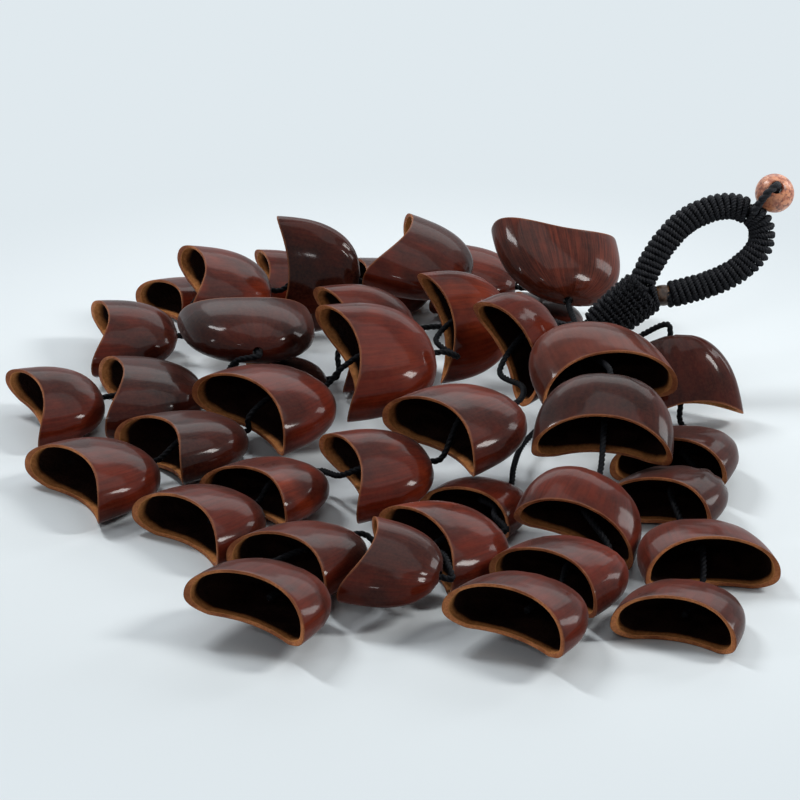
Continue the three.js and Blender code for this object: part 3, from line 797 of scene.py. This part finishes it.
def holePoints(sizes, angles, inset, radius):
    y, z = radius * np.cos(angles), radius * np.sin(angles)
    height = np.where(z > 0, sizes["rise"], sizes["belly"])
    power = shellForm["fullness"]
    reach = np.abs(y / (sizes["wide"] - inset)) ** power + np.abs(z / (height - inset)) ** power
    return np.stack([sizes["half"] - (sizes["half"] - inset) * (1 - reach) ** (1 / power), y, z], axis=1)


def shellRings(sizes):
    # rings from the hole, over the outside, across the sanded lip and back along the inside; each has its
    # points, its share of the way to the lip, its zone (0 skin, 1 lip, 2 lining) and its share across the lip
    form = shellForm
    hole, bevel = form["hole"], form["lipRound"]
    angles = np.linspace(0, 2 * math.pi, form["around"], endpoint=False)
    wall = (form["wall"] + form["edgeWall"] * np.abs(np.cos(angles)) ** form["edgePower"]
            + form["floorWall"] * np.clip(-np.sin(angles), 0, 1))
    outerLip, innerLip = lipTurns(sizes, angles, 0), lipTurns(sizes, angles, wall)
    back = bevel / sizes["half"]
    start = math.asin(((hole + form["collar"]) / sizes["belly"]) ** (form["fullness"] / 2))
    innerStart = start + form["innerStart"]
    near = form["collarShare"]
    outerInset, innerInset = bevel * form["lipInset"][0], wall * form["lipInset"][1]
    rows = [
        (holePoints(sizes, angles, 0, hole), 0, 0, 0),
        (holePoints(sizes, angles, 0, hole + form["holeRound"]), form["roundShare"], 0, 0),
    ]
    for share in np.linspace(0, 1, form["outerRings"]):
        turn = start + (outerLip - back - start) * share
        rows.append((skinPoints(sizes, turn, angles, 0), near + (1 - near) * share, 0, 0))
    rows.append((skinPoints(sizes, outerLip - form["lipBack"] * back, angles, outerInset), 1, 1, 0))
    for share in form["lipStops"]:
        inset = wall * share
        rows.append((skinPoints(sizes, lipTurns(sizes, angles, inset), angles, inset), 1, 1, share))
    rows.append((skinPoints(sizes, innerLip - form["lipBack"] * back, angles, innerInset), 1, 2, 1))
    for share in np.linspace(1, 0, form["innerRings"]):
        turn = innerStart + (innerLip - back - innerStart) * share
        rows.append((skinPoints(sizes, turn, angles, wall), near + (1 - near) * share, 2, 1))
    rows.append((holePoints(sizes, angles, wall, hole), 0, 2, 1))
    rings, shares, zones, across = zip(*rows)
    return angles, rings, np.array(shares), np.array(zones), np.array(across)


def shellMesh(name, plan, number):
    form = growthForm
    sizes = podSizes(plan["size"])
    angles, rings, shares, zones, across = shellRings(sizes)
    count = len(angles)
    points = np.concatenate(rings)
    share = np.repeat(shares, count)
    outside = np.repeat(zones == 0, count)
    # uneven growth: the whole wall wanders a little, and the outside is fluted towards the hole end
    ownPart = Vector((number * form["wobbleStep"][0], number * form["wobbleStep"][1], 0))
    for k, (x, y, z) in enumerate(points):
        drift = noise.noise_vector(Vector((x, y, z)) * form["wobbleGrain"] + ownPart)
        grown = min(1, max(0, (x - form["wobbleFrom"]) / form["wobbleRun"]))
        points[k] += np.array(drift) * form["wobble"] * grown
    wide, high = form["fluteCircle"] * np.cos(angles), form["fluteCircle"] * np.sin(angles)
    ridges = [noise.noise(Vector((x, y, number * form["fluteStep"]))) for x, y in zip(wide, high)]
    ridges = np.tile(ridges, len(rings))
    rise = np.clip(share * form["fluteRise"], 0, 1)
    fade = rise * np.clip(form["fluteEnd"] - share, 0, 1) ** form["flutePower"]
    inset = form["slack"] * np.clip((1 - share) * form["slackRise"], 0, 1)
    around = np.tile(angles, len(rings))
    sideways, upward = np.cos(around) / sizes["wide"], np.sin(around) / sizes["rise"]
    out = np.stack([np.zeros(len(points)), sideways, upward], axis=1)
    out /= np.linalg.norm(out, axis=1)[:, None]
    points += out * (outside * (fade * ridges * plan["flutes"] - inset))[:, None]
    values = {
        "fromLip": (1 - share) * sizes["depth"] * form["skinRun"] * mm,
        "fanSpot": np.stack([np.cos(around), np.sin(around), share], axis=1),
        "acrossLip": np.repeat(across, count),
    }
    bands = np.maximum(zones, np.roll(zones, -1))
    materials = [skins[plan["tone"]], sandedLip, shellLining]
    return ringMesh(name, np.split(points * mm, len(rings)), values, materials, bands)


def podAxes(plan):
    heading, pitch, roll = (math.radians(plan[key]) for key in ("heading", "pitch", "roll"))
    level = math.cos(pitch)
    axis = np.array([level * math.cos(heading), level * math.sin(heading), math.sin(pitch)])
    left = np.array([-math.sin(heading), math.cos(heading), 0])
    up = np.cross(axis, left)
    wide = left * math.cos(roll) + up * math.sin(roll)
    return axis, wide, np.cross(axis, wide), up


def layShell(strand, k, plan, number):
    node = f"pod_{strand}_{k}"
    mesh = shellMesh(f"shell_{strand}_{k}", plan, number)
    axis, wide, dome, up = podAxes(plan)
    points = np.zeros(len(mesh.vertices) * 3, np.float32)
    mesh.vertices.foreach_get("co", points)
    turned = np.stack([axis, wide, dome], axis=1)
    lowest = float((points.reshape(-1, 3) @ turned.T)[:, 2].min())
    x, y, z = plan["at"]
    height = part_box(node)[0].z - lowest if z is None else max(z * mm, -lowest)
    place = np.array([x - pileCentre[0], y - pileCentre[1], 0]) * mm + np.array([0, 0, height])
    addObject(mesh, node, [node], standing((axis, wide, dome), place))
    return {"hole": place / mm, "axis": axis, "up": up, "size": plan["size"]}


noise.seed_set(growthForm["seed"])  # or the wander of the walls would be drawn from the clock
laidPods = {}
number = 0
for strand, plan in strandPlans.items():
    laidPods[strand] = []
    for k, podPlan in enumerate(plan["pods"], 1):
        number += 1
        laidPods[strand].append(layShell(strand, k, podPlan, number))
print("seed shells laid:", number)


# Neck and loop places

handleForm = {
    "neckFoot": (76, 6, 27.5), "loopLean": 25, "neckSlope": 38, "neckLength": 22, "neckRadius": 6.4,
    "coreRadius": 2.6, "seatGap": 0.35, "cordRadius": 1.2,
    "loop": [(2.2, 8.4), (5.6, 14.4), (10, 20.9), (15.8, 26.9), (22, 31), (28.2, 33.4), (34.4, 34.2),
             (40.3, 32.9), (45, 29.6), (47.2, 24.6), (46.4, 19), (42.7, 13.7), (36.7, 8.9), (28.4, 4.7),
             (19.6, 2), (11.8, 0)],
    "beadAt": (52.1, 39.3), "beadTilt": 15, "beadRadius": 7.6, "beadBore": 2.4, "sleeveAt": 0.948,
}
lean, slope = math.radians(handleForm["loopLean"]), math.radians(handleForm["neckSlope"])
neckFoot = np.array(handleForm["neckFoot"], float) - pileCentre
loopUp = np.array([0, math.sin(lean), math.cos(lean)])
loopFront = np.array([0, -math.cos(lean), math.sin(lean)])
neckWay = np.array([math.cos(slope), 0, 0]) + loopUp * math.sin(slope)
neckTop = neckFoot + neckWay * handleForm["neckLength"]
faceFront = unit(np.cross(neckWay, [0, 0, 1]))
faceUp = np.cross(faceFront, neckWay)


def inLoop(spot, front=0.0):
    return neckTop + np.array([1, 0, 0]) * spot[0] + loopUp * spot[1] + loopFront * front


# Strand cords and their knots

strandCord = {
    "radius": 1.2, "plies": 3, "lay": 6.5, "sides": 18, "dent": 0.30, "step": 0.55,
    "seatInset": 1, "seatGaps": 2, "straight": 3.5, "lead": 4, "rise": 4, "riseShare": 0.75,
}
knotForm = {
    "radius": 2.5, "cord": 0.95, "plies": 3, "lay": 4, "sides": 12, "dent": 0.22, "points": 60, "height": 1.6,
    "turn": (0.3, 0.2, 1), "share": 0.3, "tail": 6, "wall": 1.8,
}


def strandStops(side, pods, plans):
    angle = math.radians(side)
    out = faceFront * math.cos(angle) + faceUp * math.sin(angle)
    seat = handleForm["neckRadius"] - handleForm["cordRadius"] - strandCord["seatInset"]
    start = neckFoot + out * seat - neckWay * strandCord["seatGaps"] * handleForm["seatGap"]
    stops = [start, start - neckWay * strandCord["straight"] + out]
    knots = []
    for laid, plan in zip(pods, plans):
        hole, axis = laid["hole"], laid["axis"]
        sizes = podSizes(laid["size"])
        knot, big = sizes["depth"] * knotForm["share"], knotForm["radius"]
        along = (-strandCord["lead"], knotForm["wall"] / 2, knot - big, knot, knot + big)
        stops += [np.array(spot, float) - pileCentre for spot in plan["via"]]
        stops += [hole + axis * d for d in along]
        knots.append((hole + axis * knot, axis))
        if laid is pods[-1]:
            stops.append(hole + axis * (knot + big + knotForm["tail"]))
        else:
            lip = sizes["depth"] - sizes["dip"]
            rise = laid["up"] * strandCord["rise"] * laid["size"]
            stops.append(hole + axis * lip * strandCord["riseShare"] + rise)
    return stops, knots


def knotCord(centre, axis):
    # an overhand knot: a trefoil of cord pulled down round the strand
    form = knotForm
    t = np.linspace(0, 2 * math.pi, form["points"], endpoint=False)
    trefoil = np.stack([np.sin(t) + 2 * np.sin(2 * t), np.cos(t) - 2 * np.cos(2 * t),
                        -form["height"] * np.sin(3 * t)], axis=1)
    trefoilReach = 3
    size = (form["radius"] - form["cord"]) / trefoilReach
    side = unit(np.cross(axis, form["turn"]))
    line = centre + trefoil * size @ np.stack([side, np.cross(axis, side), axis])
    return laidCord(np.concatenate([line, line[:1]]), form["cord"], form)


for strand, plan in strandPlans.items():
    stops, knots = strandStops(plan["side"], laidPods[strand], plan["pods"])
    line = smoothLine(stops, strandCord["step"])
    body = strandBody(strand)
    laid = laidCord(line, strandCord["radius"], strandCord)
    # painted shade: the strand cords and knots take the darker copy of the nylon
    strandMesh = cordsMesh(f"strand_cord_{strand}", [laid], strandNylon)
    knotMesh = cordsMesh(f"strand_knots_{strand}", [knotCord(*knot) for knot in knots], strandNylon)
    cord = addObject(strandMesh, body, [f"cord_{strand}"])
    tied = addObject(knotMesh, body, [])
    print("strand cord", strand, "is", round(float(travel(line)[-1])), "mm long")


# Handle: rope core, tight winding, whipped neck

legForm = {"gap": 0.6, "seatGaps": 2.5, "straight": 2.5, "step": 0.5}
legOut = unit(np.cross(neckWay, loopFront)) * (handleForm["coreRadius"] + legForm["gap"])
legStarts = [neckWay * (legForm["seatGaps"] * handleForm["seatGap"]), neckWay * legForm["straight"]]
loopLine = smoothLine([
    *[neckTop - legOut + start for start in legStarts],
    *[inLoop(spot) for spot in handleForm["loop"]],
    *[neckTop + legOut + start for start in reversed(legStarts)]], legForm["step"])

# each span is a share of the loop that the cord winds over
windingForm = {
    "radius": 1.5, "pitch": 2.4, "plies": 3, "lay": 3.2, "sides": 15, "dent": 0.4, "steps": 28, "tuck": 1.3,
    "bite": 0.15, "spans": {"upper": [(0.0, 0.468)], "lower": [(0.476, 0.932), (0.966, 1.0)]},
}


def windingCount(line, span, plan):
    return int((span[1] - span[0]) * travel(line)[-1] / plan["pitch"] * plan["steps"])


def windingLine(line, span, reach, plan):
    # points of a cord wound tightly round a line, its two ends tucked under
    ways, across = carriedFrames(line)
    far = travel(line)
    low, high = span[0] * far[-1], span[1] * far[-1]
    at = np.linspace(low, high, windingCount(line, span, plan))
    sides = sampled(at, far, across)
    other = np.cross(sampled(at, far, ways), sides)
    phase = 2 * math.pi * (at - low) / plan["pitch"]
    halfTurns = np.minimum(phase, phase[-1] - phase) / math.pi
    reach = reach - plan["tuck"] * np.clip(1 - halfTurns, 0, 1) ** 2
    return (sampled(at, far, line) + sides * (reach * np.cos(phase))[:, None]
            + other * (reach * np.sin(phase))[:, None])


def woundMesh(name, paths, plan):
    return cordsMesh(name, [laidCord(path, plan["radius"], plan) for path in paths], woundNylon)


ropeCore = {"radius": 2.6, "plies": 4, "lay": 16, "sides": 24, "dent": 0.2}
rope = laidCord(loopLine, ropeCore["radius"], ropeCore)
addObject(cordsMesh("rope_core", [rope], ropeNylon), "handle", ["loop_core"])
legReach = ropeCore["radius"] + windingForm["radius"] - windingForm["bite"]
for leg, spans in windingForm["spans"].items():
    paths = [windingLine(loopLine, span, legReach, windingForm) for span in spans]
    wound = woundMesh(f"leg_winding_{leg}", paths, windingForm)
    addObject(wound, "handle", [f"loop_winding_{leg}"])

# the neck swells by these shares of its radius, from its foot to its top
neckForm = {
    "radius": 1.45, "pitch": 2.35, "plies": 3, "lay": 3.2, "sides": 15, "dent": 0.4, "steps": 36, "tuck": 1.3,
    "bite": 0.1, "shares": (0.82, 0.93, 1.0, 1.05, 1.07), "from": 0.6, "past": 2.2, "step": 0.5,
}
neckBundle = {"plies": 8, "lay": 70, "sides": 64, "dent": 0.16, "past": 1.6}


def neckSwell(count):
    spots = np.linspace(0, 1, len(neckForm["shares"]))
    return handleForm["neckRadius"] * np.interp(np.linspace(0, 1, count), spots, neckForm["shares"])


neckLine = respaced(np.array([neckFoot, neckTop + neckWay * neckBundle["past"]]), neckForm["step"])
strands = laidCord(neckLine, neckSwell(len(neckLine)), neckBundle)
addObject(cordsMesh("neck_strands", [strands], ropeNylon), "handle", ["neck_bundle"])
wrapEnds = [neckFoot + neckWay * neckForm["from"], neckTop + neckWay * neckForm["past"]]
wrapLine = respaced(np.array(wrapEnds), neckForm["step"])
wrapReach = neckSwell(windingCount(wrapLine, (0, 1), neckForm)) + neckForm["radius"] - neckForm["bite"]
neckPath = windingLine(wrapLine, (0, 1), wrapReach, neckForm)
addObject(woundMesh("neck_winding", [neckPath], neckForm), "handle", ["neck_whipping"])
print("handle wound:", round(travel(loopLine)[-1]), "mm of rope in the loop")


# Turned pieces: bead and sleeve

def turnedMesh(name, profile, segments, values, material):
    # profile is a closed outline of (radius, height), turned about Z
    angles = np.linspace(0, 2 * math.pi, segments, endpoint=False)
    circle = np.stack([np.cos(angles), np.sin(angles), np.zeros(segments)], axis=1)
    rings = [(circle * r + np.array([0, 0, h])) * mm for r, h in profile]
    spread = {title: np.repeat(numbers, segments) for title, numbers in values.items()}
    return ringMesh(name, rings, spread, [material])


def placeOn(centre, axis, helper=(0, 1, 0.2)):
    z = unit(axis)
    x = unit(np.cross(helper, z))
    return standing((x, np.cross(z, x), z), centre * mm)


beadForm = {
    "steps": 40, "segments": 72, "mouthRound": 0.7, "edge": [(0.25, 0.12), (0, -0.35)],
    "boreFrom": 1, "boreSteps": 8,
}


def beadProfile():
    form = beadForm
    radius, bore = handleForm["beadRadius"], handleForm["beadBore"]
    least = math.asin((bore + form["mouthRound"]) / radius)
    turn = np.linspace(least, math.pi - least, form["steps"])
    outside = [(radius * math.sin(a), -radius * math.cos(a)) for a in turn]
    top = outside[-1][1]
    edge = [(bore + r, top + h) for r, h in form["edge"]]
    deep = top - form["boreFrom"]
    inside = [(bore, h) for h in np.linspace(deep, -deep, form["boreSteps"])]
    return outside + edge + inside + [(r, -h) for r, h in reversed(edge)]


beadTilt = math.radians(handleForm["beadTilt"])
beadAxis = loopFront * math.cos(beadTilt) + loopUp * math.sin(beadTilt)
beadPlace = inLoop(handleForm["beadAt"])
beadMesh = turnedMesh("loop_bead", beadProfile(), beadForm["segments"], {}, mottledBeadWood)
addObject(beadMesh, "bead", ["bead"], placeOn(beadPlace, beadAxis))

# leaves the rope, rises in front of the loop, runs through the bead and ends in a knot behind it
beadCord = {
    "radius": 1.6, "plies": 2, "lay": 6.5, "sides": 20, "dent": 0.34, "step": 0.4,
    "leaves": (43.2, 31.2), "rises": [((44.8, 33.8), 6), ((47.8, 38.2), 11)],
    "room": 2.4, "through": (3, -3), "behind": (0.6, -0.6, -3, -4.4), "knot": 1.8,
}
onRope = handleForm["coreRadius"] + handleForm["seatGap"] + beadCord["radius"]
beadReach = handleForm["beadRadius"] + beadCord["room"]
alongAxis = [beadReach, *beadCord["through"], *[spot - beadReach for spot in beadCord["behind"]]]
beadLine = smoothLine([
    inLoop(beadCord["leaves"], onRope), *[inLoop(*stop) for stop in beadCord["rises"]],
    *[beadPlace + beadAxis * d for d in alongAxis]], beadCord["step"])
beadTie = laidCord(beadLine, beadCord["radius"], beadCord)
addObject(cordsMesh("bead_tie", [beadTie], woundNylon), "handle", ["bead_cord"])
beadKnot = knotCord(beadPlace - beadAxis * (beadReach + beadCord["knot"]), beadAxis)
addObject(cordsMesh("bead_knot", [beadKnot], woundNylon), "handle", [])

sleeveForm = {"bore": 2.8, "wall": 1.3, "length": 5, "round": 0.35, "taper": 0.4, "steps": 9, "segments": 48}


def sleeveProfile():
    form = sleeveForm
    bore, half, edge, taper = form["bore"], form["length"] / 2, form["round"], form["taper"]
    out = bore + form["wall"]
    heights = np.linspace(-half + edge, half - edge, form["steps"])
    outside = [(out - taper * (h / half) ** 2, h) for h in heights]
    foot = [(bore + edge, -half), (out - taper - edge, -half)]
    head = [(r, -h) for r, h in reversed(foot)]
    return foot + outside + head + [(bore, h) for h in heights[::-1]]


profile = sleeveProfile()
rim = [(sleeveForm["length"] / 2 - abs(h)) * mm for r, h in profile]
sleeveMesh = turnedMesh("crotch_ring", profile, sleeveForm["segments"], {"rim": rim}, sleeveBrown)
at = int(handleForm["sleeveAt"] * (len(loopLine) - 1))
sleevePlace = placeOn(loopLine[at], loopLine[at + 1] - loopLine[at - 1])
addObject(sleeveMesh, "handle", ["crotch_sleeve"], sleevePlace)
print("bead and sleeve turned")
